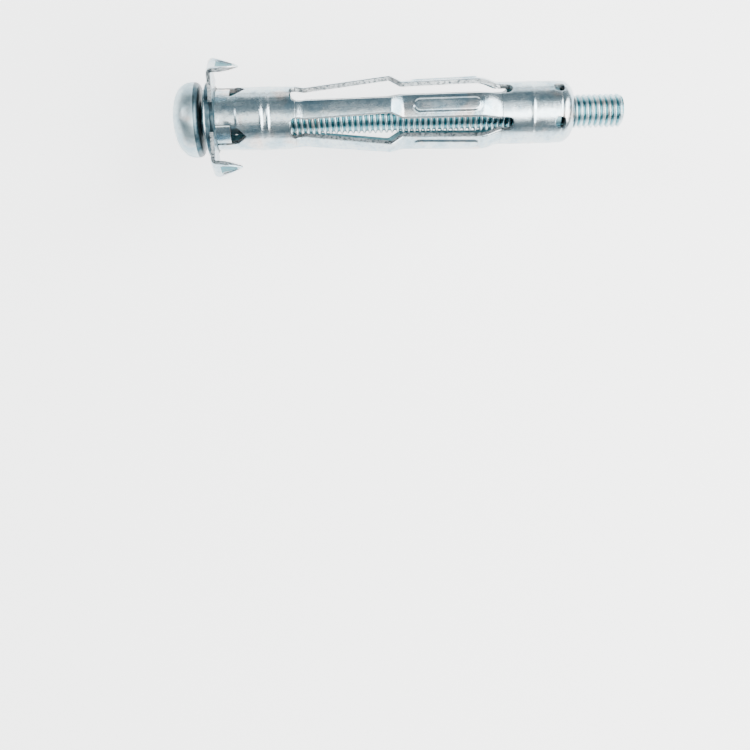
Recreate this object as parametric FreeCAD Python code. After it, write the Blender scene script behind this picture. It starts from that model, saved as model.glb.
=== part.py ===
import FreeCAD, Part
import math
import os

# Hollow-wall expansion anchor with its M6 pan-head screw, in millimetres.
# X runs along the anchor from the screw head to the tip and +Z is up. The origin is on the axis,
# in the plane where the claw plate meets the wall.

os.makedirs("parts", exist_ok=True)

V = FreeCAD.Vector
ORIGIN = V(0, 0, 0)
X_AXIS = V(1, 0, 0)

# sheet-metal sleeve
tube_radius = 5.4
sheet = 0.8
tube_bore = tube_radius - sheet

# claw plate, with teeth that bite into the wall
plate_thick = 0.85
plate_rim_radius = 6.3
claw_angles = (72.0, 192.0, -48.0)
claw_reach = 10.4
claw_half_width = 2.2
claw_root_half_width = 4.3
claw_shoulder = 8.6
claw_tip_x = 4.6
claw_tip_half_width = 0.15
claw_outer_bend = 1.05
claw_inner_bend = 0.25
tongue_end_x = 2.6
tongue_half_angle = 20.5
tongue_radius = 5.15
tongue_thick = 0.7

# front of the sleeve: flared mouth, two beads, windows for the tongues
mouth_radius = 6.35
mouth_front_x = -1.65
bead_xs = (8.1, 9.3)
bead_radius = 0.3
bead_proud = 0.12
window_angles = (49.0, 180.0, -52.0)
window_half_width = 2.1
window_shoulder_x = 3.9
window_point_x = 5.4
window_corner = 0.45

# five folding legs: neck, crease and tail fold lines
leg_count = 5
leg_pitch = 360.0 / leg_count
neck_x = 14.0
crease_x = 32.1
tail_fold_x = 50.2
fold_gap = 0.04
keyhole_front_x = 13.0
keyhole_half_width = 2.0
keyhole_corner = 0.8

# front strip of a leg, flat across its width
front_plan = ((neck_x, 1.48), (15.1, 1.48), (15.5, 1.58), (30.6, 1.28), (crease_x, 1.8))
crest_x = 30.7
crest_radius = 6.85
crease_radius = 6.2
crest_bend = 1.5

# rear strip of a leg, curved like the tube, with a pressed stiffening rib
rear_plan = ((crease_x, 1.8), (32.8, 2.02), (46.8, 2.05), (tail_fold_x, 2.2))
valley_x = 32.7
valley_radius = 5.9
valley_bend = 0.9
rear_top_x = 47.0
rear_top_radius = 6.3
rear_top_bend = 3.0
ramp_end_x = 49.7
ramp_bend = 1.5
rib_start_x = 34.4
rib_end_x = 46.6
rib_half_width = 1.35
rib_proud = 0.3
rib_groove_half_width = 0.6
rib_groove_depth = 0.18

# tail collar, rolled in over the nut
collar_end_x = 63.35
collar_roll = 2.3
tail_slot_end_x = 52.3
tail_slot_half_width = 1.15
tail_bead_x = 55.7
tail_notch_start_x = 59.6
tail_notch_end_x = 61.5
tail_notch_half_width = 1.05

# barrel nut held inside the tail collar
nut_start_x = 53.2
nut_end_x = 61.0
nut_radius = 4.57
nut_bore = 3.03
nut_chamfer = 0.35

# screw
head_radius = 6.5
head_height = 5.05
head_seat_x = -2.6
head_rim_height = 1.1
head_rim_round = 0.35
head_dome_height = 4.0
head_dome_radius = 5.05
head_crown_radius = 1.2
shank_radius = 2.62
shank_length = 10.95
thread_radius = 2.95
screw_length = 75.05
tip_chamfer = 0.5
recess_slot = 1.15
recess_reach = 3.1
recess_depth = 2.4
recess_taper = 0.55

BIG = 40.0


def polygon(points):
    """A flat face through the points, in their order."""
    return Part.Face(Part.makePolygon([*points, points[0]]))


def turned(profile):
    """The solid of revolution about the anchor axis of an (x, radius) outline."""
    face = polygon([V(x, 0, r) for x, r in profile])
    return face.revolve(ORIGIN, X_AXIS, 360)


def wedge(profile, half_angle):
    """The same outline swept only through half_angle to each side of +Z."""
    face = polygon([V(x, 0, r) for x, r in profile])
    face.rotate(ORIGIN, X_AXIS, -half_angle)
    return face.revolve(ORIGIN, X_AXIS, 2 * half_angle)


def plan_prism(half_outline):
    """A prism standing on +Z from (x, half width) points, mirrored about the XZ plane."""
    near = [V(x, -w, 0) for x, w in half_outline]
    far = [V(x, w, 0) for x, w in reversed(half_outline) if w > 0]
    return polygon(near + far).extrude(V(0, 0, BIG))


def round_upright_edges(prism, radius, low_x, high_x):
    """Rounds the prism's upright edges whose x lies between the limits."""
    edges = []
    for edge in prism.Edges:
        upright = abs(edge.tangentAt(edge.FirstParameter).z) > 0.99
        if upright and low_x <= edge.CenterOfMass.x <= high_x:
            edges.append(edge)
    return prism.makeFillet(radius, edges)


def round_cross_edges(solid, radius, x, radial):
    """Rounds the edges that cross the strip at this x and height on its centre line."""
    edges = []
    for edge in solid.Edges:
        middle = edge.valueAt((edge.FirstParameter + edge.LastParameter) / 2)
        if abs(middle.x - x) < 0.01 and abs(middle.z - radial) < 0.05 and abs(middle.y) < 0.01:
            edges.append(edge)
    return solid.makeFillet(radius, edges)


def around(solid, angle):
    """A copy turned about the anchor axis, from +Z toward -Y."""
    copy = solid.copy()
    copy.rotate(ORIGIN, X_AXIS, angle)
    return copy


def save(shape, node):
    """Writes one node as a STEP file, as a single clean solid."""
    solid = shape.removeSplitter()
    solids = solid.Solids
    if len(solids) != 1 or not solid.isValid():
        raise ValueError(node + " is not one valid solid")
    solids[0].exportStep("parts/" + node + ".step")


# Claw plate: a ring behind the flared mouth, with three petals that end in teeth folded toward the
# tail and three short tongues that hang in the barrel's windows.
def claw():
    outer_mid = claw_reach - claw_outer_bend
    inner_face = claw_reach - sheet
    front = -plate_thick
    bend_out = V(front + claw_outer_bend, 0, outer_mid)
    bend_in = V(claw_inner_bend, 0, inner_face - claw_inner_bend)
    diagonal = math.sqrt(0.5)
    outer_arc = Part.Arc(
        V(front, 0, outer_mid),
        bend_out + V(-diagonal, 0, diagonal) * claw_outer_bend,
        V(front + claw_outer_bend, 0, claw_reach),
    )
    inner_arc = Part.Arc(
        V(claw_inner_bend, 0, inner_face),
        bend_in + V(-diagonal, 0, diagonal) * claw_inner_bend,
        V(0, 0, inner_face - claw_inner_bend),
    )
    root = tube_radius + 0.3
    edges = [
        Part.LineSegment(V(front, 0, root), V(front, 0, outer_mid)).toShape(),
        outer_arc.toShape(),
        Part.LineSegment(V(front + claw_outer_bend, 0, claw_reach), V(claw_tip_x, 0, claw_reach)).toShape(),
        Part.LineSegment(V(claw_tip_x, 0, claw_reach), V(claw_tip_x, 0, inner_face)).toShape(),
        Part.LineSegment(V(claw_tip_x, 0, inner_face), V(claw_inner_bend, 0, inner_face)).toShape(),
        inner_arc.toShape(),
        Part.LineSegment(V(0, 0, inner_face - claw_inner_bend), V(0, 0, root)).toShape(),
        Part.LineSegment(V(0, 0, root), V(front, 0, root)).toShape(),
    ]
    side = Part.Face(Part.Wire(edges))
    side.translate(V(0, -BIG / 2, 0))
    bent_sheet = side.extrude(V(0, BIG, 0))
    front_outline = [
        V(-BIG, -claw_root_half_width, tube_radius),
        V(-BIG, -claw_half_width, claw_shoulder),
        V(-BIG, -claw_half_width, BIG),
        V(-BIG, claw_half_width, BIG),
        V(-BIG, claw_half_width, claw_shoulder),
        V(-BIG, claw_root_half_width, tube_radius),
    ]
    petal = polygon(front_outline).extrude(V(2 * BIG, 0, 0))
    tooth = plan_prism(
        (
            (-BIG, BIG),
            (claw_inner_bend, BIG),
            (claw_inner_bend, claw_half_width),
            (claw_tip_x, claw_tip_half_width),
        )
    )
    return bent_sheet.common(petal).common(tooth)


def tongue():
    inner = tongue_radius - tongue_thick
    hang = [(-plate_thick, inner), (tongue_end_x, inner), (tongue_end_x, tongue_radius)]
    hang += [(0, tongue_radius), (0, tube_radius + 0.3), (-plate_thick, tube_radius + 0.3)]
    return wedge(hang, tongue_half_angle)


ring_outline = [(-plate_thick, tube_radius), (0, tube_radius)]
ring_outline += [(0, plate_rim_radius), (-plate_thick, plate_rim_radius)]
claw_plate = turned(ring_outline)
one_claw = claw()
one_tongue = tongue()
for angle in claw_angles:
    claw_plate = claw_plate.fuse(around(one_claw, angle))
for angle in window_angles:
    claw_plate = claw_plate.fuse(around(one_tongue, angle))
save(claw_plate, "claw_plate")


# Barrel: the front of the sleeve, with a flared mouth, two beads, three pointed windows and the
# five necks from which the legs fold.
def beads(xs):
    centre = tube_radius + bead_proud - bead_radius
    shape = None
    for x in xs:
        torus = Part.makeTorus(centre, bead_radius, V(x, 0, 0), X_AXIS)
        shape = torus if shape is None else shape.fuse(torus)
    return shape


mouth_back_x = mouth_front_x + sheet
barrel_outline = [
    (mouth_front_x + 0.1, mouth_radius),
    (mouth_front_x, mouth_radius - 0.15),
    (mouth_front_x, tube_bore + 0.55),
    (mouth_front_x + 0.25, tube_bore + 0.15),
    (mouth_front_x + 0.9, tube_bore),
    (neck_x - fold_gap / 2, tube_bore),
    (neck_x - fold_gap / 2, tube_radius),
    (mouth_back_x, tube_radius),
    (mouth_back_x, mouth_radius),
]
barrel = turned(barrel_outline).fuse(beads(bead_xs))
window = plan_prism(
    (
        (-plate_thick, window_half_width),
        (window_shoulder_x, window_half_width),
        (window_point_x, 0),
    )
)
window = round_upright_edges(window, window_corner, window_shoulder_x - 0.1, window_point_x + 0.1)
for angle in window_angles:
    barrel = barrel.cut(around(window, angle))
keyhole_end_x = neck_x + 2.0
keyhole = plan_prism(((keyhole_front_x, keyhole_half_width), (keyhole_end_x, keyhole_half_width)))
keyhole = round_upright_edges(keyhole, keyhole_corner, keyhole_front_x - 0.1, keyhole_front_x + 0.1)
for i in range(leg_count):
    barrel = barrel.cut(around(keyhole, (i + 0.5) * leg_pitch))
save(barrel, "barrel")


# Front strips: each runs from its neck out to the crest and starts down the step to the crease.
def front_strip():
    start = neck_x + fold_gap / 2
    end = crease_x - fold_gap / 2
    outer = [(start, tube_radius), (crest_x, crest_radius), (end, crease_radius)]
    inner = [(x, r - sheet) for x, r in reversed(outer)]
    face = polygon([V(x, -BIG / 2, r) for x, r in outer + inner])
    strip = face.extrude(V(0, BIG, 0))
    strip = round_cross_edges(strip, crest_bend, crest_x, crest_radius)
    strip = round_cross_edges(strip, crest_bend - sheet / 2, crest_x, crest_radius - sheet)
    return strip.common(plan_prism(front_plan))


one_front = front_strip()
for i in range(leg_count):
    save(around(one_front, i * leg_pitch), "front_leg_" + str(i + 1))


# Rear strips: from the crease down to the valley, along the ribbed strut and down the ramp to the
# tail collar.
def rear_strip():
    start = crease_x + fold_gap / 2
    end = tail_fold_x - fold_gap / 2
    outer = [
        (start, crease_radius),
        (valley_x, valley_radius),
        (rear_top_x, rear_top_radius),
        (ramp_end_x, tube_radius),
        (end, tube_radius),
    ]
    inner = [(x, r - sheet) for x, r in reversed(outer)]
    strip = wedge(outer + inner, leg_pitch / 2)
    bends = (
        (valley_x, valley_radius, valley_bend),
        (rear_top_x, rear_top_radius, rear_top_bend),
        (ramp_end_x, tube_radius, ramp_bend),
    )
    for x, r, bend in bends:
        strip = round_cross_edges(strip, bend, x, r)
        strip = round_cross_edges(strip, bend, x, r - sheet)
    strip = strip.common(plan_prism(rear_plan))
    return strip.fuse(rib())


def rib():
    """A long low island with round ends that follows the strip, grooved along its middle."""
    rise = (rear_top_radius - valley_radius) / (rear_top_x - valley_x)

    def surface(x):
        return valley_radius + rise * (x - valley_x)

    def island(half_width, inset, low, high):
        band = [
            (rib_start_x + inset, surface(rib_start_x + inset) + low),
            (rib_start_x + inset, surface(rib_start_x + inset) + high),
            (rib_end_x - inset, surface(rib_end_x - inset) + high),
            (rib_end_x - inset, surface(rib_end_x - inset) + low),
        ]
        ends = ((rib_start_x + inset, half_width), (rib_end_x - inset, half_width))
        prism = plan_prism(ends)
        prism = round_upright_edges(prism, half_width * 0.98, 0, BIG * 2)
        return wedge(band, leg_pitch / 2).common(prism)

    body = island(rib_half_width, 0, -sheet / 2, rib_proud)
    groove_inset = rib_half_width - rib_groove_half_width
    floor = rib_proud - rib_groove_depth
    groove = island(rib_groove_half_width, groove_inset, floor, rib_proud + 1)
    return body.cut(groove)


one_rear = rear_strip()
for i in range(leg_count):
    save(around(one_rear, i * leg_pitch), "rear_leg_" + str(i + 1))

# Tail collar: the rear ring of the sleeve, slotted between the legs, notched at its end and rolled
# in over the nut.
def quarter_arc(centre_x, centre_r, radius, steps):
    """Points of a quarter circle from straight up round to the +X side."""
    turns = [math.pi / 2 * k / steps for k in range(steps + 1)]
    return [(centre_x + radius * math.sin(t), centre_r + radius * math.cos(t)) for t in turns]


roll_centre_x = collar_end_x - collar_roll
roll_centre_r = tube_radius - collar_roll
collar_start = tail_fold_x + fold_gap / 2
collar_outline = [(collar_start, tube_bore), (collar_start, tube_radius)]
collar_outline += quarter_arc(roll_centre_x, roll_centre_r, collar_roll, 10)
collar_outline += reversed(quarter_arc(roll_centre_x, roll_centre_r, collar_roll - sheet, 8))
collar = turned(collar_outline).fuse(beads((tail_bead_x,)))
tail_slot = plan_prism(
    ((tail_fold_x - 1.0, tail_slot_half_width), (tail_slot_end_x, tail_slot_half_width))
)
tail_slot = round_upright_edges(
    tail_slot, tail_slot_half_width * 0.95, tail_slot_end_x - 0.1, tail_slot_end_x + 0.1
)
notch = plan_prism(
    ((tail_notch_start_x, tail_notch_half_width), (tail_notch_end_x, tail_notch_half_width))
)
notch = round_upright_edges(notch, tail_notch_half_width * 0.6, 0, BIG * 2)
for i in range(leg_count):
    between = (i + 0.5) * leg_pitch
    collar = collar.cut(around(tail_slot, between))
    collar = collar.cut(around(notch, between))
save(collar, "tail_collar")

# Nut: a round threaded slug with a plain bore at the thread's outside size.
nut_outline = [
    (nut_start_x, nut_bore + nut_chamfer),
    (nut_start_x, nut_radius - nut_chamfer),
    (nut_start_x + nut_chamfer, nut_radius),
    (nut_end_x - nut_chamfer, nut_radius),
    (nut_end_x, nut_radius - nut_chamfer),
    (nut_end_x, nut_bore + nut_chamfer),
    (nut_end_x - nut_chamfer, nut_bore),
    (nut_start_x + nut_chamfer, nut_bore),
]
save(turned(nut_outline), "nut")


# Screw: domed pan head with a cross recess, plain shank and a threaded part kept as its outside
# cylinder.
def recess():
    """Two crossed tapering slots cut into the top of the head."""
    top = head_seat_x - head_height - 0.1
    floor = head_seat_x - head_height + recess_depth
    blades = None
    for turn in (0, 90):
        outline = [
            V(top, 0, recess_reach),
            V(floor, 0, recess_reach - recess_taper * recess_depth),
            V(floor, 0, -recess_reach + recess_taper * recess_depth),
            V(top, 0, -recess_reach),
        ]
        blade = polygon(outline)
        blade.translate(V(0, -recess_slot / 2, 0))
        blade = blade.extrude(V(0, recess_slot, 0))
        blade = around(blade, turn)
        blades = blade if blades is None else blades.fuse(blade)
    return blades


def screw():
    rim_x = head_seat_x - head_rim_height
    top_x = head_seat_x - head_height
    dome_mid = V(head_seat_x - head_dome_height, 0, head_dome_radius)
    crown = V(top_x, 0, head_crown_radius)
    dome = Part.Arc(V(rim_x, 0, head_radius), dome_mid, crown)
    tip_x = head_seat_x + screw_length
    shank_end_x = head_seat_x + shank_length
    step = thread_radius - shank_radius
    corners = [
        V(top_x, 0, 0),
        V(tip_x, 0, 0),
        V(tip_x, 0, thread_radius - tip_chamfer),
        V(tip_x - tip_chamfer, 0, thread_radius),
        V(shank_end_x + step, 0, thread_radius),
        V(shank_end_x, 0, shank_radius),
        V(head_seat_x, 0, shank_radius),
        V(head_seat_x, 0, head_radius - head_rim_round),
        V(head_seat_x - head_rim_round, 0, head_radius),
        V(rim_x, 0, head_radius),
    ]
    edges = [Part.LineSegment(a, b).toShape() for a, b in zip(corners, corners[1:])]
    edges.append(dome.toShape())
    edges.append(Part.LineSegment(crown, corners[0]).toShape())
    blank = Part.Face(Part.Wire(edges)).revolve(ORIGIN, X_AXIS, 360)
    return blank.cut(recess())


save(screw(), "screw")
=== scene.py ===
import math

import bmesh
import bpy
from mathutils import Matrix, Vector, noise


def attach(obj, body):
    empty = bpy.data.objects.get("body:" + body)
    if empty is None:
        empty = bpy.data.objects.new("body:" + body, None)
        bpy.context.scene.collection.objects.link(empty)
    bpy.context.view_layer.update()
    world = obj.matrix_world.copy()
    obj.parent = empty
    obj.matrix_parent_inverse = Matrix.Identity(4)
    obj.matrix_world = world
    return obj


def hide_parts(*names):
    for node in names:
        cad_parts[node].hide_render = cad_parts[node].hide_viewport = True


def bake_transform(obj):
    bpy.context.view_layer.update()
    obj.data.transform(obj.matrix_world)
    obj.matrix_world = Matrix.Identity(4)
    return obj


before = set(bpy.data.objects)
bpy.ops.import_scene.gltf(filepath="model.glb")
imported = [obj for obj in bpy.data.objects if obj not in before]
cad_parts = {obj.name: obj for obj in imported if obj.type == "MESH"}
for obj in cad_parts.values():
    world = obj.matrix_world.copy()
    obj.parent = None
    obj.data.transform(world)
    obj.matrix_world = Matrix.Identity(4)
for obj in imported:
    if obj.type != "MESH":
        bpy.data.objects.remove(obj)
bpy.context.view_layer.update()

# ---------------------------------------------------------------------------------------------
# Barrel: the front of the sleeve, pressed from 0.8 mm steel strip and rolled into a tube. Its
# mouth is flared, two beads stiffen it, and the windows and keyholes were pierced while it was
# still flat, which leaves rough sheared edges all round them.

MM = 0.001
tube_radius = 5.4
sheet = 0.8
leg_angles = [72.0 * i for i in range(5)]
window_angles = (49.0, 180.0, -52.0)
window_point = 5.4
window_shoulder = 3.5
window_half_width = 2.07
window_front = -0.45
window_corner = 0.9
keyhole_front = 13.0
keyhole_half_width = 2.02
keyhole_corner = 1.5
barrel_end = 13.98
edge_round = 0.11
shaded_from, shaded_to = -1.5, -0.55
drawn_in = 0.1
draw_start, draw_end = 0.4, 3.75
barrel_beads = ((3.85, 0.05), (8.1, 0.13), (9.3, 0.13))
bead_width = 0.2


def zinc_group():
    """Colour, roughness and normal of bright zinc plate: soft tint patches, fine grain, draw lines."""
    tree = bpy.data.node_groups.new("zinc_plate", "ShaderNodeTree")
    interface = tree.interface
    for name, kind, value in (
        ("Plate Color", "NodeSocketColor", (0.5, 0.59, 0.63, 1)),
        ("Cool Tint", "NodeSocketColor", (0.3, 0.43, 0.5, 1)),
        ("Warm Tint", "NodeSocketColor", (0.6, 0.55, 0.52, 1)),
        ("Patch Scale", "NodeSocketFloat", 260.0),
        ("Mottle Scale", "NodeSocketFloat", 1500.0),
        ("Mottle", "NodeSocketFloat", 0.35),
        ("Grain Scale", "NodeSocketFloat", 5200.0),
        ("Grain Depth", "NodeSocketFloat", 0.000012),
        ("Roughness", "NodeSocketFloat", 0.19),
        ("Roughness Spread", "NodeSocketFloat", 0.12),
    ):
        socket = interface.new_socket(name=name, in_out="INPUT", socket_type=kind)
        socket.default_value = value
    for name, kind in (("Color", "Color"), ("Roughness", "Float"), ("Normal", "Vector")):
        interface.new_socket(name=name, in_out="OUTPUT", socket_type="NodeSocket" + kind)
    nodes, links = tree.nodes, tree.links
    given = nodes.new("NodeGroupInput")
    out = nodes.new("NodeGroupOutput")
    place = nodes.new("ShaderNodeTexCoord")

    def cloud(scale, detail, stretch=None):
        texture = nodes.new("ShaderNodeTexNoise")
        texture.inputs["Detail"].default_value = detail
        texture.inputs["Roughness"].default_value = 0.6
        if stretch:
            mapping = nodes.new("ShaderNodeMapping")
            mapping.inputs["Scale"].default_value = stretch
            links.new(place.outputs["Object"], mapping.inputs["Vector"])
            links.new(mapping.outputs["Vector"], texture.inputs["Vector"])
        else:
            links.new(place.outputs["Object"], texture.inputs["Vector"])
        if isinstance(scale, str):
            links.new(given.outputs[scale], texture.inputs["Scale"])
        else:
            texture.inputs["Scale"].default_value = scale
        return texture.outputs["Fac"]

    def ramped(fac, low, high):
        spread = nodes.new("ShaderNodeMapRange")
        spread.interpolation_type = "SMOOTHSTEP"
        spread.inputs["From Min"].default_value = low
        spread.inputs["From Max"].default_value = high
        links.new(fac, spread.inputs["Value"])
        return spread.outputs["Result"]

    def mixed(fac, a, b):
        mix = nodes.new("ShaderNodeMix")
        mix.data_type = "RGBA"
        links.new(fac, mix.inputs[0])
        links.new(a, mix.inputs[6])
        links.new(b, mix.inputs[7])
        return mix.outputs[2]

    patches = cloud("Patch Scale", 3.0)
    warm_patches = cloud(190.0, 2.0)
    colour = mixed(ramped(patches, 0.42, 0.68), given.outputs["Plate Color"], given.outputs["Cool Tint"])
    colour = mixed(ramped(warm_patches, 0.55, 0.75), colour, given.outputs["Warm Tint"])
    spots = cloud("Mottle Scale", 5.0)
    darker = nodes.new("ShaderNodeMath")
    darker.operation = "MULTIPLY"
    links.new(ramped(spots, 0.45, 0.7), darker.inputs[0])
    links.new(given.outputs["Mottle"], darker.inputs[1])
    dim = nodes.new("ShaderNodeHueSaturation")
    dim.inputs["Value"].default_value = 0.45
    dim.inputs["Saturation"].default_value = 1.25
    links.new(colour, dim.inputs["Color"])
    links.new(mixed(darker.outputs[0], colour, dim.outputs["Color"]), out.inputs["Color"])

    lines = cloud(900.0, 4.0, (0.12, 1.0, 1.0))
    gain = nodes.new("ShaderNodeMath")
    gain.operation = "MULTIPLY_ADD"
    links.new(ramped(lines, 0.3, 0.75), gain.inputs[0])
    links.new(given.outputs["Roughness Spread"], gain.inputs[1])
    links.new(given.outputs["Roughness"], gain.inputs[2])
    links.new(gain.outputs[0], out.inputs["Roughness"])

    grain = cloud("Grain Scale", 2.0)
    both = nodes.new("ShaderNodeMath")
    both.operation = "MULTIPLY_ADD"
    links.new(lines, both.inputs[0])
    both.inputs[1].default_value = 0.7
    links.new(grain, both.inputs[2])
    bump = nodes.new("ShaderNodeBump")
    bump.inputs["Strength"].default_value = 0.35
    links.new(given.outputs["Grain Depth"], bump.inputs["Distance"])
    links.new(both.outputs[0], bump.inputs["Height"])
    waves = nodes.new("ShaderNodeBump")
    waves.inputs["Strength"].default_value = 0.5
    waves.inputs["Distance"].default_value = 0.00006
    links.new(cloud(700.0, 2.0), waves.inputs["Height"])
    links.new(waves.outputs["Normal"], bump.inputs["Normal"])
    links.new(bump.outputs["Normal"], out.inputs["Normal"])
    return tree


zinc_plate = zinc_group()


def radius_group():
    """A mask from the distance to the anchor's axis: 0 in the hollow and 1 outside it."""
    tree = bpy.data.node_groups.new("distance_from_axis", "ShaderNodeTree")
    for name in ("From", "To"):
        tree.interface.new_socket(name=name, in_out="INPUT", socket_type="NodeSocketFloat")
    tree.interface.new_socket(name="Mask", in_out="OUTPUT", socket_type="NodeSocketFloat")
    nodes, links = tree.nodes, tree.links
    given = nodes.new("NodeGroupInput")
    flat = nodes.new("ShaderNodeVectorMath")
    flat.operation = "MULTIPLY"
    flat.inputs[1].default_value = (0, 1, 1)
    links.new(nodes.new("ShaderNodeTexCoord").outputs["Object"], flat.inputs[0])
    away = nodes.new("ShaderNodeVectorMath")
    away.operation = "LENGTH"
    links.new(flat.outputs[0], away.inputs[0])
    step = nodes.new("ShaderNodeMapRange")
    step.interpolation_type = "SMOOTHSTEP"
    links.new(away.outputs["Value"], step.inputs["Value"])
    links.new(given.outputs["From"], step.inputs["From Min"])
    links.new(given.outputs["To"], step.inputs["From Max"])
    links.new(step.outputs["Result"], nodes.new("NodeGroupOutput").inputs["Mask"])
    return tree


distance_from_axis = radius_group()


def zinc_material(name, hollow=None, **values):
    """Zinc plate over steel. A hollow is (colour, radius in, radius out) for painted shade at the roots.
    """
    material = bpy.data.materials.new(name)
    material.use_nodes = True
    nodes, links = material.node_tree.nodes, material.node_tree.links
    shader = nodes["Principled BSDF"]
    shader.inputs["Metallic"].default_value = 1.0
    group = nodes.new("ShaderNodeGroup")
    group.node_tree = zinc_plate
    for socket, value in values.items():
        group.inputs[socket.replace("_", " ")].default_value = value
    colour = group.outputs["Color"]
    if hollow:
        mask = nodes.new("ShaderNodeGroup")
        mask.node_tree = distance_from_axis
        mask.inputs["From"].default_value = hollow[1]
        mask.inputs["To"].default_value = hollow[2]
        root_shade = nodes.new("ShaderNodeMix")
        root_shade.data_type = "RGBA"
        root_shade.inputs[6].default_value = hollow[0]
        links.new(mask.outputs["Mask"], root_shade.inputs[0])
        links.new(colour, root_shade.inputs[7])
        colour = root_shade.outputs[2]
    links.new(colour, shader.inputs["Base Color"])
    links.new(group.outputs["Roughness"], shader.inputs["Roughness"])
    links.new(group.outputs["Normal"], shader.inputs["Normal"])
    return material


sheet_zinc = zinc_material("sheet zinc")
cut_edge_zinc = zinc_material(
    "sheared edge",
    Plate_Color=(0.4, 0.44, 0.46, 1),
    Cool_Tint=(0.05, 0.07, 0.08, 1),
    Warm_Tint=(0.28, 0.26, 0.25, 1),
    Patch_Scale=2000.0,
    Mottle_Scale=3600.0,
    Mottle=0.8,
    Grain_Scale=3000.0,
    Grain_Depth=0.0002,
    Roughness=0.38,
    Roughness_Spread=0.25,
)
# dark zinc that stands in for shade: painted shade on the barrel's flared mouth, the claw plate's ring
# and under the screw head
painted_shade_zinc = zinc_material(
    "painted shade zinc",
    Plate_Color=(0.08, 0.12, 0.14, 1),
    Cool_Tint=(0.03, 0.07, 0.09, 1),
    Warm_Tint=(0.15, 0.14, 0.13, 1),
    Patch_Scale=900.0,
    Roughness=0.3,
)
# dark teal zinc on the inner sides of the sheet and in the claws' dishes: painted shade
inner_shade_zinc = zinc_material(
    "inner face",
    Plate_Color=(0.14, 0.3, 0.34, 1),
    Cool_Tint=(0.06, 0.18, 0.22, 1),
    Warm_Tint=(0.18, 0.27, 0.29, 1),
    Roughness=0.42,
    Grain_Depth=0.00003,
)


def in_scene(name, data):
    """A new object with this data, at the origin of the scene."""
    obj = bpy.data.objects.new(name, data)
    bpy.context.scene.collection.objects.link(obj)
    return obj


def plain_mesh(obj, name):
    """Turns a modified object into a plain mesh object at the origin and drops the first one."""
    seen = obj.evaluated_get(bpy.context.evaluated_depsgraph_get())
    mesh = bpy.data.meshes.new_from_object(seen)
    bpy.data.objects.remove(obj)
    return shown(mesh, name)


def shown(mesh, name, angle=32):
    """Puts a mesh in the scene, smooth except where it folds by more than the angle."""
    mesh.name = name
    mesh.shade_smooth()
    mesh.set_sharp_from_angle(angle=math.radians(angle))
    return in_scene(name, mesh)


def soft_max(a, b, reach):
    """The larger of two distances, rounded off where they meet."""
    blend = max(reach - abs(a - b), 0.0) / reach
    return max(a, b) + blend * blend * reach / 4


def window_gap(x, across):
    """Distance outside a window: straight sides that close to a soft point toward the tail."""
    slope = math.hypot(window_half_width, window_point - window_shoulder)
    side = abs(across) - window_half_width
    nose = (x - window_point) * window_half_width + abs(across) * (window_point - window_shoulder)
    return max(soft_max(side, nose / slope, window_corner), window_front - x)


def keyhole_gap(x, across):
    """Distance outside a keyhole, a round-cornered opening between two necks."""
    return soft_max(keyhole_front - x, abs(across) - keyhole_half_width, keyhole_corner)


def pierced_tube(name, path, gaps, columns):
    """A tube of sheet steel along (x, radius) points, with holes, wall thickness and edge rounds."""
    no_hole_near = 9.0
    hole_spread = 0.9
    flat = []
    for x, radius in path:
        for c in range(columns):
            flat.append([x, 2 * math.pi * c / columns, radius])

    def clear(x, angle):
        least = no_hole_near
        for at, gap in gaps:
            away = (angle - math.radians(at) + math.pi) % (2 * math.pi) - math.pi
            if abs(away) < hole_spread:
                least = min(least, gap(x, away * tube_radius))
        return least

    faces = []
    kept_at, dropped_at = set(), set()
    for i in range(len(path) - 1):
        for c in range(columns):
            d = (c + 1) % columns
            corners = [i * columns + c, (i + 1) * columns + c, (i + 1) * columns + d, i * columns + d]
            middle_x = (path[i][0] + path[i + 1][0]) / 2
            if clear(middle_x, 2 * math.pi * (c + 0.5) / columns) > 0:
                faces.append(corners)
                kept_at.update(corners)
            else:
                dropped_at.update(corners)

    # the corners along each hole slide onto its outline
    step = 0.01
    first, last = path[0][0], path[-1][0]
    for v in kept_at & dropped_at:
        x, angle, radius = flat[v]
        for _ in range(3):
            d = clear(x, angle)
            dx = (clear(x + step, angle) - clear(x - step, angle)) / (2 * step)
            turn = step / tube_radius
            ds = (clear(x, angle + turn) - clear(x, angle - turn)) / (2 * step)
            size = max(dx * dx + ds * ds, 0.2)
            x -= d * dx / size
            angle -= d * ds / size / tube_radius
        flat[v] = [min(max(x, first), last), angle, radius]
    used = sorted({v for f in faces for v in f})
    order = {v: k for k, v in enumerate(used)}
    points = []
    for v in used:
        x, angle, radius = flat[v]
        points.append((x * MM, -radius * math.sin(angle) * MM, radius * math.cos(angle) * MM))
    mesh = bpy.data.meshes.new(name)
    mesh.from_pydata(points, [], [[order[v] for v in f] for f in faces])
    sample = mesh.polygons[len(faces) // 2]
    if sample.normal.dot(sample.center) < 0:
        mesh.flip_normals()
    for material in (sheet_zinc, cut_edge_zinc, painted_shade_zinc, inner_shade_zinc):
        mesh.materials.append(material)
    # faces on the flared mouth take the dark zinc as painted shade
    for face in mesh.polygons:
        if shaded_from * MM < face.center.x < shaded_to * MM:
            face.material_index = 2
    obj = in_scene(name, mesh)
    wall = obj.modifiers.new("wall", "SOLIDIFY")
    wall.thickness = sheet * MM
    wall.offset = -1
    wall.use_even_offset = True
    # the inside of the tube wall takes the dark inner zinc as painted shade; the cut rim takes the
    # sheared edge
    wall.material_offset = 3
    wall.material_offset_rim = 1
    edge = obj.modifiers.new("edge", "BEVEL")
    edge.width = edge_round * MM
    edge.segments = 2
    edge.limit_method = "ANGLE"
    edge.angle_limit = math.radians(50)
    return plain_mesh(obj, name)


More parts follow.
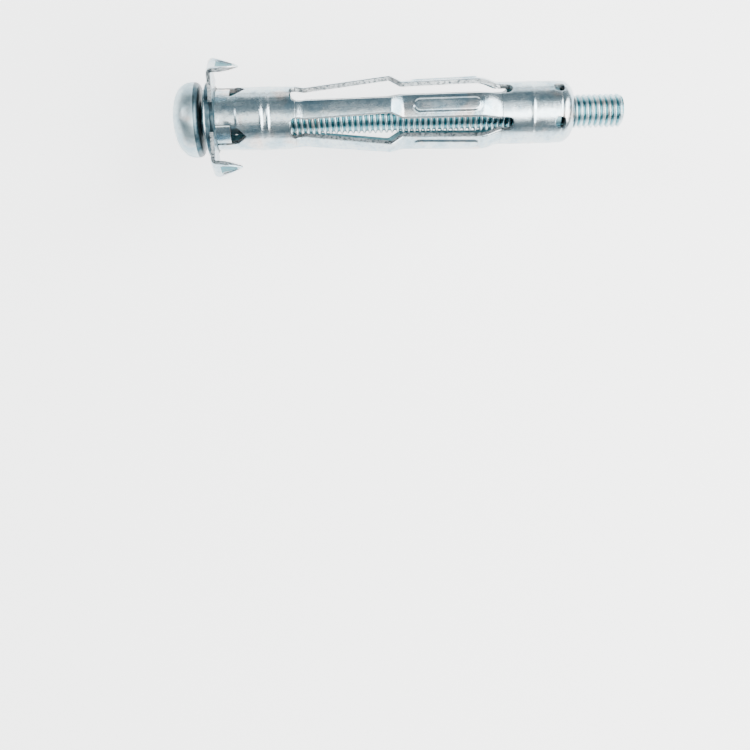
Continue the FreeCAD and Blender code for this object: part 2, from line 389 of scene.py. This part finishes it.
def ridge(x, at, width):
    """The rounded profile of a bead of height 1."""
    return math.exp(-(((x - at) / width) ** 2))


def barrel_radius(x):
    """Outside radius of the barrel behind its flare: a drawn-in front, a crisp step and two beads."""
    radius = tube_radius
    radius -= drawn_in / (1 + math.exp((x - draw_end) / 0.07)) / (1 + math.exp((draw_start - x) / 0.3))
    for bead, height in barrel_beads:
        radius += height * ridge(x, bead, bead_width)
    return radius


flare = [(-1.62, 6.33), (-1.5, 6.3), (-1.3, 6.13), (-1.1, 5.95), (-0.9, 5.78), (-0.7, 5.62), (-0.5, 5.5)]
tube_columns = 216
barrel_rows = 92
barrel_start = -0.3
barrel_path = list(flare)
for i in range(barrel_rows + 1):
    x = barrel_start + (barrel_end - barrel_start) * i / barrel_rows
    barrel_path.append((x, barrel_radius(x)))
barrel_gaps = [(a, window_gap) for a in window_angles] + [(a + 36.0, keyhole_gap) for a in leg_angles]
barrel = pierced_tube("barrel_tube", barrel_path, barrel_gaps, tube_columns)

# the forming tool leaves the drawn-in front slightly wrinkled
wrinkle_start, wrinkle_end = -0.2, 3.7
wrinkle_share = 0.011
wrinkles_per_metre = 1100
for v in barrel.data.vertices:
    x = v.co.x / MM
    if wrinkle_start < x < wrinkle_end:
        fade = math.sin(math.pi * (x - wrinkle_start) / (wrinkle_end - wrinkle_start))
        v.co *= 1 + wrinkle_share * fade * (noise.noise(v.co * wrinkles_per_metre) - 0.1)
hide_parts("barrel")
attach(barrel, "front_sleeve")

# ---------------------------------------------------------------------------------------------
# Claw plate: blanked from the same strip and trapped behind the flared mouth. Three petals reach
# out and end in teeth folded toward the wall, dished to stiffen them, and three short tongues
# hang in the barrel's windows so that the plate can't turn on the tube.

claw_reach = 10.4
claw_lean = math.radians(7.0)
claw_bend = 0.62
claw_half_width = 2.2
claw_root = 5.42
claw_root_spread = 2.2
claw_tip_x = 4.55
claw_edge = 0.09
claw_edge_thinning = 0.14
first_claw = 72.0
claw_count = 3
dish_depth = 0.3
dish_share = 0.72
dish_rings = range(44, 64)
dish_columns = range(6, 18)
thin_start, thin_length = 1.2, 3.4
tongue_front, tongue_length, tongue_steps = -0.6, 3.2, 16
tongue_radius = 5.12
tongue_half_width = 1.9
tongue_sheet = 0.7
ring_radius = 5.82


def round_copies_tree():
    """Geometry Nodes: copies of a piece spaced evenly round the anchor's axis, edges marked apart."""
    tree = bpy.data.node_groups.new("copies round the axis", "GeometryNodeTree")
    interface = tree.interface
    for name, kind in (
        ("Geometry", "Geometry"), ("Count", "Int"), ("First Angle", "Float"),
        ("Face Material", "Material"), ("Edge Material", "Material"), ("Inner Material", "Material"),
    ):
        interface.new_socket(name=name, in_out="INPUT", socket_type="NodeSocket" + kind)
    interface.new_socket(name="Geometry", in_out="OUTPUT", socket_type="NodeSocketGeometry")
    nodes, links = tree.nodes, tree.links
    given = nodes.new("NodeGroupInput")
    out = nodes.new("NodeGroupOutput")
    single = nodes.new("GeometryNodeGeometryToInstance")
    copies = nodes.new("GeometryNodeDuplicateElements")
    copies.domain = "INSTANCE"
    pitch = nodes.new("ShaderNodeMath")
    pitch.operation = "DIVIDE"
    pitch.inputs[0].default_value = 2 * math.pi
    angle = nodes.new("ShaderNodeMath")
    angle.operation = "MULTIPLY_ADD"
    turn = nodes.new("ShaderNodeCombineXYZ")
    rotate = nodes.new("GeometryNodeRotateInstances")
    rotate.inputs["Local Space"].default_value = False
    real = nodes.new("GeometryNodeRealizeInstances")
    faces = nodes.new("GeometryNodeSetMaterial")
    links.new(given.outputs["Geometry"], single.inputs[0])
    links.new(single.outputs[0], copies.inputs["Geometry"])
    links.new(given.outputs["Count"], copies.inputs["Amount"])
    links.new(given.outputs["Count"], pitch.inputs[1])
    links.new(copies.outputs["Duplicate Index"], angle.inputs[0])
    links.new(pitch.outputs[0], angle.inputs[1])
    links.new(given.outputs["First Angle"], angle.inputs[2])
    links.new(angle.outputs[0], turn.inputs["X"])
    links.new(copies.outputs["Geometry"], rotate.inputs["Instances"])
    links.new(turn.outputs[0], rotate.inputs["Rotation"])
    links.new(rotate.outputs[0], real.inputs[0])
    links.new(real.outputs[0], faces.inputs["Geometry"])
    links.new(given.outputs["Face Material"], faces.inputs["Material"])
    painted = faces
    for mark, material in (("cut_edge", "Edge Material"), ("inner_face", "Inner Material")):
        marked = nodes.new("GeometryNodeInputNamedAttribute")
        marked.data_type = "BOOLEAN"
        marked.inputs["Name"].default_value = mark
        paint = nodes.new("GeometryNodeSetMaterial")
        links.new(painted.outputs[0], paint.inputs["Geometry"])
        links.new(marked.outputs["Attribute"], paint.inputs["Selection"])
        links.new(given.outputs[material], paint.inputs["Material"])
        painted = paint
    links.new(painted.outputs[0], out.inputs[0])
    return tree


round_copies = round_copies_tree()


def grown(tree, name, mesh=None, **values):
    """Runs a Geometry Nodes tree with the named inputs and returns a plain object."""
    obj = in_scene(name, mesh or bpy.data.meshes.new(name))
    modifier = obj.modifiers.new("grow", "NODES")
    modifier.node_group = tree
    for item in tree.interface.items_tree:
        key = item.name.replace(" ", "_")
        if item.in_out == "INPUT" and key in values:
            modifier[item.identifier] = values[key]
    return plain_mesh(obj, name)


def placed(mesh, name, first, count=1):
    """A strip on +Z turned to its place round the axis, or evenly spaced copies, all plated."""
    return grown(
        round_copies,
        name,
        mesh,
        Count=count,
        First_Angle=math.radians(first),
        Face_Material=sheet_zinc,
        Edge_Material=cut_edge_zinc,
        # the inner faces take the dark inner zinc, painted shade
        Inner_Material=inner_shade_zinc,
    )


def swept_sheet(name, sections, shade_picker=None):
    """A closed strip through rings of points, each ring (outer points, inner points) across it.
    The last argument picks the faces painted with dark inner shade by (ring, column); without it the
    whole inner side gets the painted shade."""
    rings = []
    for outer, inner in sections:
        rings.append(list(outer) + list(reversed(inner)))
    size = len(rings[0])
    across = len(sections[0][0])
    points = [tuple(c * MM for c in p) for ring in rings for p in ring]
    faces, cut, inner_side = [], [], []
    for i in range(len(rings) - 1):
        for j in range(size):
            k = (j + 1) % size
            faces.append([i * size + j, (i + 1) * size + j, (i + 1) * size + k, i * size + k])
            cut.append(j in (across - 1, size - 1))
            inner_side.append(shade_picker(i, j) if shade_picker else across <= j < size - 1)
    for start, step in ((0, 1), ((len(rings) - 1) * size, -1)):
        outer = [start + j for j in range(across)]
        inner = [start + size - 1 - j for j in range(across)]
        for j in range(across - 1):
            quad = [outer[j], outer[j + 1], inner[j + 1], inner[j]]
            faces.append(quad[::step])
            cut.append(True)
            inner_side.append(False)
    mesh = bpy.data.meshes.new(name)
    mesh.from_pydata(points, [], faces)
    for mark, values in (("cut_edge", cut), ("inner_face", inner_side)):
        mesh.attributes.new(mark, "BOOLEAN", "FACE").data.foreach_set("value", values)
    form = bmesh.new()
    form.from_mesh(mesh)
    bmesh.ops.remove_doubles(form, verts=form.verts, dist=1e-7)
    bmesh.ops.recalc_face_normals(form, faces=form.faces)
    form.to_mesh(mesh)
    form.free()
    return mesh


def across_steps(count):
    """Even steps from -1 to 1 across a strip."""
    return [2.0 * j / (count - 1) - 1.0 for j in range(count)]


def claw_rings():
    """Rings along one claw on +Z: out along the petal, round the bend and down the tooth."""
    spread = across_steps(25)
    line = []
    shoulder = claw_reach - sheet / 2 - claw_bend
    petal_steps, turn_steps, tooth_steps = 29, 12, 30
    for i in range(petal_steps + 1):
        t = i / petal_steps
        v = claw_root + (shoulder - claw_root) * t
        width = claw_half_width + claw_root_spread * (1 - t) ** 2.2
        line.append((-sheet / 2, v, math.pi / 2, width, 0.0))
    swing = math.pi / 2 + claw_lean
    for i in range(1, turn_steps + 1):
        a = swing * i / turn_steps
        x = -sheet / 2 + claw_bend * (1 - math.cos(a))
        v = shoulder + claw_bend * math.sin(a)
        line.append((x, v, math.pi / 2 - a, claw_half_width, 0.0))
    x0, v0 = line[-1][:2]
    length = (claw_tip_x - x0) / math.cos(claw_lean)
    for i in range(1, tooth_steps + 1):
        t = i / tooth_steps
        x = x0 + length * t * math.cos(claw_lean)
        v = v0 - length * t * math.sin(claw_lean)
        width = claw_half_width * (1 - t**1.25) + 0.06 * t
        line.append((x, v, -claw_lean, width, min(1.0, t * 5) * (1 - t) ** 0.5))
    rings = []
    for x, v, heading, width, dish in line:
        point = max(0.0, (x - thin_start) / thin_length)
        nx, nv = -math.sin(heading), math.cos(heading)
        outer, inner = [], []
        for s in spread:
            y = s * width
            edge = max(0.0, 1 - (1 - abs(s)) * width / claw_edge)
            bowl = dish * dish_depth * max(0.0, 1 - (abs(s) / dish_share) ** 4) * min(1.0, width)
            thin = 1 - 0.7 * point * point
            up = sheet / 2 - bowl - claw_edge * edge * edge
            low = up - (sheet - claw_edge_thinning * edge * edge) * thin
            outer.append((x + nx * up, y, v + nv * up))
            inner.append((x + nx * low, y, v + nv * low))
        rings.append((outer, inner))
    return rings


def curved_rings(xs, radius_at, half_width_at, curve_at, raised, thick, columns=25):
    """Rings along a strip on +Z: its outside radius, half width and crossways curve at each x."""
    edge_reach, outer_round, inner_round = 0.12, 0.1, 0.04
    lift_inside = 0.8
    rings = []
    spread = across_steps(columns)
    for x in xs:
        radius, width, curve = radius_at(x), half_width_at(x), curve_at(x)
        outer, inner = [], []
        for s in spread:
            y = s * width
            sag = curve - math.sqrt(max(curve * curve - y * y, 0.0))
            edge = max(0.0, 1 - (1 - abs(s)) * width / edge_reach)
            lift = raised(x, y)
            outer.append((x, y, radius - sag + lift - outer_round * edge * edge))
            inner.append((x, y, radius - sag - thick + lift * lift_inside + inner_round * edge * edge))
        rings.append((outer, inner))
    return rings


# the dished middle of each tooth's face takes the dark inner zinc as painted shade
claw_mesh = swept_sheet(
    "claw", claw_rings(), lambda ring, column: ring in dish_rings and column in dish_columns
)
claws = placed(claw_mesh, "claws", first_claw, claw_count)
tongue_mesh = swept_sheet(
    "tongue",
    curved_rings(
        [tongue_front + tongue_length * i / tongue_steps for i in range(tongue_steps + 1)],
        lambda x: tongue_radius + 0.1 * max(0.0, 0.5 - x),
        lambda x: tongue_half_width - 0.12 * max(0.0, x - 2.2),
        lambda x: 5.1,
        lambda x, y: 0.0,
        tongue_sheet,
    ),
)
tongues = [placed(tongue_mesh.copy(), "tongue", a) for a in window_angles]
ring_points = [
    (-0.62, 5.41), (-0.62, 5.7), (-0.56, 5.8), (-0.4, ring_radius + 0.03),
    (-0.1, ring_radius), (-0.02, 5.74), (0.0, 5.6), (0.06, 5.5), (0.2, 5.41),
]


def turned_part(name, profile, columns, closed=True):
    """A lathe-turned mesh from (x, radius) points. A radius of 0 becomes a pole."""
    form = bmesh.new()
    rings = []
    for x, radius in profile:
        if radius == 0:
            rings.append([form.verts.new((x * MM, 0, 0))] * columns)
            continue
        ring = []
        for c in range(columns):
            a = 2 * math.pi * c / columns
            ring.append(form.verts.new((x * MM, -radius * math.sin(a) * MM, radius * math.cos(a) * MM)))
        rings.append(ring)
    pairs = list(zip(rings, rings[1:]))
    if closed:
        pairs.append((rings[-1], rings[0]))
    for a, b in pairs:
        for c in range(columns):
            d = (c + 1) % columns
            corners = []
            for v in (a[c], b[c], b[d], a[d]):
                if v not in corners:
                    corners.append(v)
            if len(corners) > 2:
                form.faces.new(corners)
    bmesh.ops.recalc_face_normals(form, faces=form.faces)
    mesh = bpy.data.meshes.new(name)
    form.to_mesh(mesh)
    form.free()
    return mesh


def joined(name, objects):
    """One object from several, keeping their materials."""
    finishes = [sheet_zinc, cut_edge_zinc, inner_shade_zinc, painted_shade_zinc]
    form = bmesh.new()
    for obj in objects:
        first = len(form.faces)
        form.from_mesh(obj.data)
        form.faces.ensure_lookup_table()
        for face in form.faces[first:]:
            used = obj.data.materials[face.material_index]
            face.material_index = finishes.index(used)
    mesh = bpy.data.meshes.new(name)
    form.to_mesh(mesh)
    form.free()
    for material in finishes:
        mesh.materials.append(material)
    for obj in objects:
        bpy.data.objects.remove(obj)
    return shown(mesh, name)


# the whole ring takes the dark zinc as painted shade
ring = shown(turned_part("ring", ring_points, 144), "ring")
ring.data.materials.append(painted_shade_zinc)
claw_plate = joined("claw_plate_pressing", [claws, *tongues, ring])
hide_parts("claw_plate")
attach(claw_plate, "front_sleeve")

# ---------------------------------------------------------------------------------------------
# Legs: five strips left between the long slots of the sleeve. Each runs out from its neck to a
# crest, steps down at the crease where it will fold, and widens into a strut with a rib pressed
# along it. The long edges are sheared and stay rough under the plating.

neck_x = 14.02
crease_x = 32.1
tail_fold_x = 50.2
fold_clearance = 0.02
leg_side = [
    (14.0, 5.4), (14.3, 5.38), (15.5, 5.16), (16.1, 5.22), (30.7, 6.85), (32.75, 5.9), (45.4, 6.27),
    (46.8, 6.29), (47.7, 6.13), (48.5, 5.86), (49.2, 5.58), (49.7, 5.43), (50.2, 5.4),
]
leg_half_width = [
    (14.0, 1.46), (15.0, 1.44), (15.5, 1.6), (30.6, 1.29), (32.75, 2.0), (46.5, 2.04), (50.2, 2.2),
]
leg_curve = [(14.0, 5.4), (16.5, 8.5), (30.0, 9.5), (32.6, 8.5), (46.0, 7.6), (50.2, 5.4)]
rib_front, rib_back = 34.4, 46.6
rib_half_width = 1.35
rib_height = 0.22
rib_flank = 0.5
leg_columns = 33


def along(points, x, reach=0.0):
    """Reads a line of (x, value) points, averaged over a short reach so that its bends are round."""
    if reach:
        return sum(along(points, x + reach * k / 4) for k in range(-4, 5)) / 9
    x = min(max(x, points[0][0]), points[-1][0])
    for (xa, a), (xb, b) in zip(points, points[1:]):
        if x <= xb:
            return a + (b - a) * (x - xa) / (xb - xa)
    return points[-1][1]


def soft_step(t):
    """Rises from 0 to 1 as t does, level at both ends."""
    t = min(max(t, 0.0), 1.0)
    return t * t * (3 - 2 * t)


def rib_lift(x, y):
    """Height of the pressed rib: a long flat-topped ridge with round ends and sloping flanks."""
    middle = min(max(x, rib_front + rib_half_width), rib_back - rib_half_width)
    inside = rib_half_width - math.hypot(x - middle, y)
    return rib_height * soft_step(inside / rib_flank)


def leg_part(name, start, end, steps):
    """One strip of a leg on +Z, from start to end along the axis."""
    xs = [start + (end - start) * i / steps for i in range(steps + 1)]
    rings = curved_rings(
        xs,
        lambda x: along(leg_side, x, 0.22),
        lambda x: along(leg_half_width, x, 0.25),
        lambda x: along(leg_curve, x, 0.4),
        rib_lift,
        sheet,
        leg_columns,
    )
    return swept_sheet(name, rings)


front_strip = leg_part("front_strip", neck_x, crease_x, 110)
rear_strip = leg_part("rear_strip", crease_x, tail_fold_x - fold_clearance, 130)
for i, angle in enumerate(leg_angles, start=1):
    front = placed(front_strip.copy(), f"front_leg_{i}_strip", angle)
    rear = placed(rear_strip.copy(), f"rear_leg_{i}_strip", angle)
    for strip, node in ((front, f"front_leg_{i}"), (rear, f"rear_leg_{i}")):
        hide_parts(node)
        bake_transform(strip)

# ---------------------------------------------------------------------------------------------
# Tail collar: the rear ring of the sleeve. Slots run into it between the legs, a bead stops the
# nut, and its end is notched and rolled in so that the nut can't be pulled out.

collar_end = 63.35
roll = 2.3
roll_steps = 14
slot_end = 52.3
slot_half_width = 1.15
notch_middle = 60.55
notch_half_length = 0.95
notch_half_width = 1.05
notch_corner = 0.9
collar_bead, collar_bead_height = 55.7, 0.1
roll_groove, roll_groove_depth, roll_groove_width = 60.95, 0.12, 0.1


def slot_gap(x, across):
    """Distance outside a slot between two legs, with a round end."""
    reach = math.hypot(max(x - (slot_end - slot_half_width), 0.0), across)
    return reach - slot_half_width


def notch_gap(x, across):
    """Distance outside a notch, a small round-cornered opening just before the rolled end."""
    return soft_max(
        abs(x - notch_middle) - notch_half_length, abs(across) - notch_half_width, notch_corner
    )


collar_rows = 66
collar_start = tail_fold_x + fold_clearance
straight_end = collar_end - roll
collar_path = []
for i in range(collar_rows + 1):
    x = collar_start + (straight_end - collar_start) * i / collar_rows
    lift = collar_bead_height * ridge(x, collar_bead, bead_width)
    lift -= roll_groove_depth * ridge(x, roll_groove, roll_groove_width)
    collar_path.append((x, tube_radius + lift))
for i in range(1, roll_steps + 1):
    a = math.pi / 2 * i / roll_steps
    collar_path.append((straight_end + roll * math.sin(a), tube_radius - roll + roll * math.cos(a)))
between = [a + 36.0 for a in leg_angles]
collar_gaps = [(a, slot_gap) for a in between] + [(a, notch_gap) for a in between]
collar = pierced_tube("tail_collar_tube", collar_path, collar_gaps, tube_columns)
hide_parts("tail_collar")
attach(collar, "tail")

# ---------------------------------------------------------------------------------------------
# Nut: a slug turned from round bar, tapped M6, plated and trapped in the tail collar between the
# bead and the rolled end. Turning marks run round it.

# the nut's plate colour is darkened as painted shade, since it sits inside the tail collar
nut_shade_zinc = zinc_material(
    "nut painted shade zinc", Plate_Color=(0.14, 0.24, 0.27, 1), Cool_Tint=(0.05, 0.12, 0.15, 1), Roughness=0.33
)
nut_profile = [
    (53.2, 3.4), (53.2, 4.2), (53.26, 4.38), (53.4, 4.52), (53.55, 4.57), (60.65, 4.57),
    (60.8, 4.52), (60.94, 4.38), (61.0, 4.2), (61.0, 3.4), (60.65, 3.03), (53.55, 3.03),
]
nut = shown(turned_part("nut_slug", nut_profile, 96), "nut_slug")
nut.data.materials.append(nut_shade_zinc)
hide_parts("nut")
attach(nut, "tail")

# ---------------------------------------------------------------------------------------------
# Screw: cold-headed from wire, with a domed pan head and a cross recess punched into it, a plain
# shank under the head, and an M6 thread rolled on up to a small point chamfer.

screw_zinc = zinc_material(
    "screw zinc", Plate_Color=(0.46, 0.58, 0.62, 1), Roughness=0.32, Roughness_Spread=0.14
)
thread_zinc = zinc_material(
    "rolled thread",
    # the thread's roots are darkened toward teal as painted shade
    hollow=((0.07, 0.22, 0.26, 1), 2.52 * MM, 2.82 * MM),
    Plate_Color=(0.58, 0.7, 0.74, 1),
    Cool_Tint=(0.4, 0.56, 0.62, 1),
    Roughness=0.25,
)
head_seat = -2.6
head_height = 5.05
shank_radius = 2.62
shank_end = 8.35
screw_tip = 72.45
thread_crest = 2.95
thread_root = 2.52
thread_overlap = 0.6
recess_depth = 2.3
recess_half_width = 0.62
recess_reach = 2.95
recess_taper = 0.9
recess_rim, recess_flank = 0.05, 0.42
face_depth, face_radius = 3.8, 3.9
shaded_under_head = (-0.8, 0.3)


def smooth_profile(points, steps):
    """A smooth curve of points through the given ones."""
    vectors = [Vector(p) for p in points]
    ends = [2 * vectors[0] - vectors[1], *vectors, 2 * vectors[-1] - vectors[-2]]
    curve = []
    for i in range(1, len(ends) - 2):
        for k in range(steps):
            t = k / steps
            a, b, c, d = ends[i - 1 : i + 3]
            second = 2 * a - 5 * b + 4 * c - d
            third = 3 * b - a - 3 * c + d
            p = 0.5 * (2 * b + (c - a) * t + second * t * t + third * t**3)
            curve.append((p.x, p.y))
    curve.append(tuple(vectors[-1]))
    return curve


def recess_at(y, z):
    """Depth of the punched cross at a point of the head's face."""
    arms = []
    for a, b in ((abs(y), abs(z)), (abs(z), abs(y))):
        arms.append(min(recess_half_width - b, (recess_reach - a) * recess_taper))
    deepest = recess_depth * (1 - 0.1 * math.hypot(y, z))
    return deepest * soft_step((max(arms) + recess_rim) / recess_flank)


rim = [
    (0.0, 5.8), (0.14, 6.12), (0.5, 6.4), (1.1, 6.5), (1.9, 6.44), (2.8, 6.14), (3.6, 5.5),
    (4.15, 4.75), (4.5, 3.95),
]
top = [(4.5, 3.95), (4.72, 3.2), (4.91, 2.2), (5.01, 1.1), (head_height, 0.02)]
dome = smooth_profile([(head_seat - x, r) for x, r in rim], 5)
crown = smooth_profile([(head_seat - x, r) for x, r in top], 22)
head_profile = [
    (shank_end + thread_overlap, 0), (shank_end + thread_overlap, shank_radius),
    (head_seat + 0.25, shank_radius), (head_seat + 0.07, shank_radius + 0.07),
    (head_seat, shank_radius + 0.25), (head_seat, 3.6), (head_seat, 4.6),
    *dome[:-1], *crown[:-1], (head_seat - head_height, 0),
]
head = shown(turned_part("screw_head", head_profile, 192, closed=False), "screw_head")
for v in head.data.vertices:
    y, z = v.co.y / MM, v.co.z / MM
    if v.co.x / MM < head_seat - face_depth and math.hypot(y, z) < face_radius:
        v.co.x += recess_at(y, z) * MM
head.data.materials.append(screw_zinc)
head.data.materials.append(painted_shade_zinc)
# faces near the seat under the head take the dark zinc as painted shade
for face in head.data.polygons:
    if shaded_under_head[0] < face.center.x / MM - head_seat < shaded_under_head[1]:
        face.material_index = 1


def thread_tree():
    """Geometry Nodes: a right-hand rolled thread, run in from the shank and chamfered at its tip."""
    tree = bpy.data.node_groups.new("rolled thread", "GeometryNodeTree")
    interface = tree.interface
    for name, kind in (
        ("Turns", "Int"), ("Steps", "Int"), ("Pitch", "Float"), ("Start", "Float"), ("End", "Float"),
        ("Crest", "Float"), ("Root", "Float"), ("Neck", "Float"), ("Run In", "Float"),
    ):
        interface.new_socket(name=name, in_out="INPUT", socket_type="NodeSocket" + kind)
    interface.new_socket(name="Material", in_out="INPUT", socket_type="NodeSocketMaterial")
    interface.new_socket(name="Geometry", in_out="OUTPUT", socket_type="NodeSocketGeometry")
    nodes, links = tree.nodes, tree.links
    given = nodes.new("NodeGroupInput")
    out = nodes.new("NodeGroupOutput")
    turns, steps, pitch_in, start, end, crest, root, neck, run_in = given.outputs[:9]

    def maths(operation, *values):
        node = nodes.new("ShaderNodeMath")
        node.operation = operation
        for socket, value in zip(node.inputs, values):
            if isinstance(value, (int, float)):
                socket.default_value = value
            else:
                links.new(value, socket)
        return node.outputs[0]

    def eased(value, low, high):
        node = nodes.new("ShaderNodeMapRange")
        node.interpolation_type = "SMOOTHSTEP"
        for name, given_value in (("Value", value), ("From Min", low), ("From Max", high)):
            if isinstance(given_value, (int, float)):
                node.inputs[name].default_value = given_value
            else:
                links.new(given_value, node.inputs[name])
        return node.outputs["Result"]

    across = 10
    root_flat, crest_flat = 0.1, 0.92
    grid = nodes.new("GeometryNodeMeshGrid")
    grid.inputs["Vertices Y"].default_value = across + 1
    links.new(maths("MULTIPLY_ADD", turns, steps, 1.0), grid.inputs["Vertices X"])
    position = nodes.new("GeometryNodeInputPosition")
    parts = nodes.new("ShaderNodeSeparateXYZ")
    links.new(position.outputs[0], parts.inputs[0])
    turn = maths("MULTIPLY", maths("ADD", parts.outputs["X"], 0.5), turns)
    v = maths("ADD", parts.outputs["Y"], 0.5)
    lead = maths("MULTIPLY_ADD", maths("ADD", maths("ADD", turn, v), -1.0), pitch_in, start)
    x = maths("MINIMUM", maths("MAXIMUM", lead, start), end)
    peak = maths("SUBTRACT", 1.0, maths("ABSOLUTE", maths("MULTIPLY_ADD", v, 2.0, -1.0)))
    height = eased(peak, root_flat, crest_flat)
    radius = maths("MULTIPLY_ADD", height, maths("SUBTRACT", crest, root), root)
    begun = eased(x, start, maths("ADD", start, run_in))
    radius = maths("MULTIPLY_ADD", maths("SUBTRACT", radius, neck), begun, neck)
    left = maths("SUBTRACT", end, x)
    radius = maths("MINIMUM", radius, maths("ADD", root, left))
    angle = maths("MULTIPLY", turn, 2 * math.pi)
    place = nodes.new("ShaderNodeCombineXYZ")
    links.new(x, place.inputs["X"])
    links.new(maths("MULTIPLY", maths("MULTIPLY", radius, maths("SINE", angle)), -1.0), place.inputs["Y"])
    links.new(maths("MULTIPLY", radius, maths("COSINE", angle)), place.inputs["Z"])
    shape = nodes.new("GeometryNodeSetPosition")
    links.new(grid.outputs["Mesh"], shape.inputs["Geometry"])
    links.new(place.outputs[0], shape.inputs["Position"])
    weld = nodes.new("GeometryNodeMergeByDistance")
    weld.inputs["Distance"].default_value = 0.004 * MM
    real = nodes.new("GeometryNodeRealizeInstances")
    paint = nodes.new("GeometryNodeSetMaterial")
    links.new(shape.outputs[0], weld.inputs["Geometry"])
    links.new(weld.outputs[0], real.inputs[0])
    links.new(real.outputs[0], paint.inputs["Geometry"])
    links.new(given.outputs["Material"], paint.inputs["Material"])
    links.new(paint.outputs[0], out.inputs[0])
    return tree


pitch = 1.0
thread = grown(
    thread_tree(),
    "screw_thread",
    Turns=math.ceil((screw_tip - shank_end) / pitch) + 1,
    Steps=48,
    Pitch=pitch * MM,
    Start=shank_end * MM,
    End=screw_tip * MM,
    Crest=thread_crest * MM,
    Root=thread_root * MM,
    Neck=(shank_radius - 0.02) * MM,
    Run_In=1.6 * MM,
    Material=thread_zinc,
)
form = bmesh.new()
form.from_mesh(thread.data)
open_edges = [e for e in form.edges if e.is_boundary]
bmesh.ops.holes_fill(form, edges=open_edges, sides=0)
bmesh.ops.recalc_face_normals(form, faces=form.faces)
form.to_mesh(thread.data)
form.free()
thread.data.materials.append(screw_zinc)
for face in thread.data.polygons:
    if face.center.x > (screw_tip - 0.01) * MM:
        face.material_index = len(thread.data.materials) - 1
thread.data.shade_smooth()
thread.data.set_sharp_from_angle(angle=math.radians(40))
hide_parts("screw")
for part in (head, thread):
    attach(part, "turning_screw")

# ---------------------------------------------------------------------------------------------
# Stage: a level pale floor, low enough for the legs to fold out above it. Five soft lights: a
# large and a narrow one beyond the tail, a weak one above the near side, a low one on the far
# side and a small one beyond the head.

floor_half = 1.6
floor_drop = -24.0 * MM
floor_mesh = bpy.data.meshes.new("floor")
floor_mesh.from_pydata(
    [(a * floor_half, b * floor_half, floor_drop) for a, b in ((-1, -1), (1, -1), (1, 1), (-1, 1))],
    [],
    [(0, 1, 2, 3)],
)
floor = in_scene("floor", floor_mesh)
floor_paint = bpy.data.materials.new("floor paper")
floor_paint.use_nodes = True
floor_shader = floor_paint.node_tree.nodes["Principled BSDF"]
floor_shader.inputs["Base Color"].default_value = (0.96, 0.96, 0.96, 1)
floor_shader.inputs["Roughness"].default_value = 0.9
floor_shader.inputs["Emission Color"].default_value = (1, 1, 1, 1)
floor_shader.inputs["Emission Strength"].default_value = 1.4
floor_mesh.materials.append(floor_paint)


light_distance = 0.7


def soft_light(name, off_x, off_y, size, radiance, colour):
    """A rectangular light on the anchor's middle, off the vertical by degrees toward +X and +Y."""
    aim = Vector((33.0 * MM, 0, 0))
    toward = Vector((math.tan(math.radians(off_x)), math.tan(math.radians(off_y)), 1)).normalized()
    data = bpy.data.lights.new(name, "AREA")
    data.shape = "RECTANGLE"
    data.size, data.size_y = size
    data.energy = radiance * math.pi * size[0] * size[1]
    data.color = colour
    light = in_scene(name, data)
    light.location = aim + toward * light_distance
    light.rotation_euler = toward.to_track_quat("Z", "Y").to_euler()


soft_light("tail light", 36, -20, (0.6, 0.66), 13.0, (1.0, 0.98, 0.95))
soft_light("step light", 43, 19, (0.28, 0.5), 11.0, (1.0, 1.0, 1.0))
soft_light("near light", -12, -12, (0.36, 0.34), 3.5, (1.0, 0.95, 0.88))
soft_light("far light", 0, 78, (0.9, 0.2), 2.0, (0.95, 0.98, 1.0))
soft_light("head light", -50, 12, (0.2, 0.35), 9.0, (0.95, 0.98, 1.0))

world = bpy.data.worlds.new("studio")
world.use_nodes = True
bpy.context.scene.world = world
sky = world.node_tree.nodes["Background"]
way = world.node_tree.nodes.new("ShaderNodeTexCoord")
rise = world.node_tree.nodes.new("ShaderNodeSeparateXYZ")
shade = world.node_tree.nodes.new("ShaderNodeValToRGB")
tones = (
    (0.0, (0.7, 0.76, 0.78)),
    (0.15, (0.55, 0.63, 0.67)),
    (0.4, (0.16, 0.22, 0.25)),
    (0.85, (0.22, 0.3, 0.34)),
    (1.0, (0.4, 0.5, 0.56)),
)
stops = shade.color_ramp.elements
for at, tone in tones:
    stop = stops.new(at) if 0 < at < 1 else stops[-1 if at else 0]
    stop.color = (*tone, 1)
world.node_tree.links.new(way.outputs["Generated"], rise.inputs[0])
world.node_tree.links.new(rise.outputs["Z"], shade.inputs["Fac"])
world.node_tree.links.new(shade.outputs["Color"], sky.inputs["Color"])

# the camera looks almost straight down, turned so that the anchor rises to the right
view_tilt, view_roll = math.radians(2.0), math.radians(1.9)
view_distance = 161.5
view_shift_along, view_shift_across = -5.85, -46.4
view_up = Vector((-math.sin(view_tilt), 0, math.cos(view_tilt)))
view_along = Vector((math.cos(view_tilt), 0, math.sin(view_tilt)))
middle = Vector((32.4, 0, 0))
eye = middle + view_up * view_distance + view_along * view_shift_along
eye = (eye + Vector((0, view_shift_across, 0))) * MM
right = view_along * math.cos(view_roll) - Vector((0, 1, 0)) * math.sin(view_roll)
up = view_along * math.sin(view_roll) + Vector((0, 1, 0)) * math.cos(view_roll)
lens = bpy.data.cameras.new("camera")
lens.lens = 43.2
lens.sensor_width = 36.0
lens.clip_start = 0.001
camera = in_scene("camera", lens)
camera.matrix_world = Matrix.Translation(eye) @ Matrix((right, up, view_up)).transposed().to_4x4()
bpy.context.scene.camera = camera
